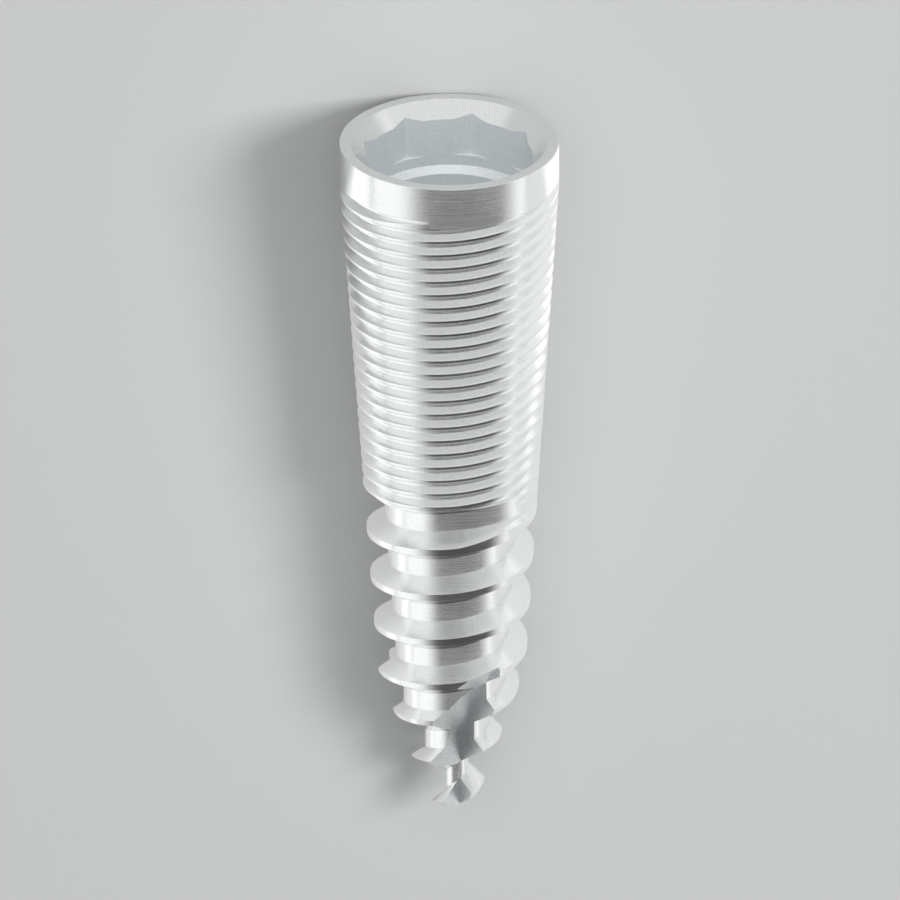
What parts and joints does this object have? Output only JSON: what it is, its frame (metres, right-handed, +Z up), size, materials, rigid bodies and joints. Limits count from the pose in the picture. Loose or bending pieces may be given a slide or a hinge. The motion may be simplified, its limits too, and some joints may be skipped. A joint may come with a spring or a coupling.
{
  "type": "dental implant fixture",
  "caption": "Tapered bone-level dental implant with a micro-threaded neck, a coarse self-tapping thread, cutting flutes and an octagonal abutment socket.",
  "frame": {"origin": "on the surface the implant lies on, under the middle of its length and width", "axes": "+Y towards the head with the abutment socket, +Z up; the implant lies on its taper, so its own axis rises by 3.81 degrees towards the head"},
  "size_m": [0.0044, 0.0152, 0.0046],
  "materials": {
    "titanium": "satin machined titanium"
  },
  "bodies": {
    "root": {"implant_body": "titanium"}
  },
  "joints": []
}
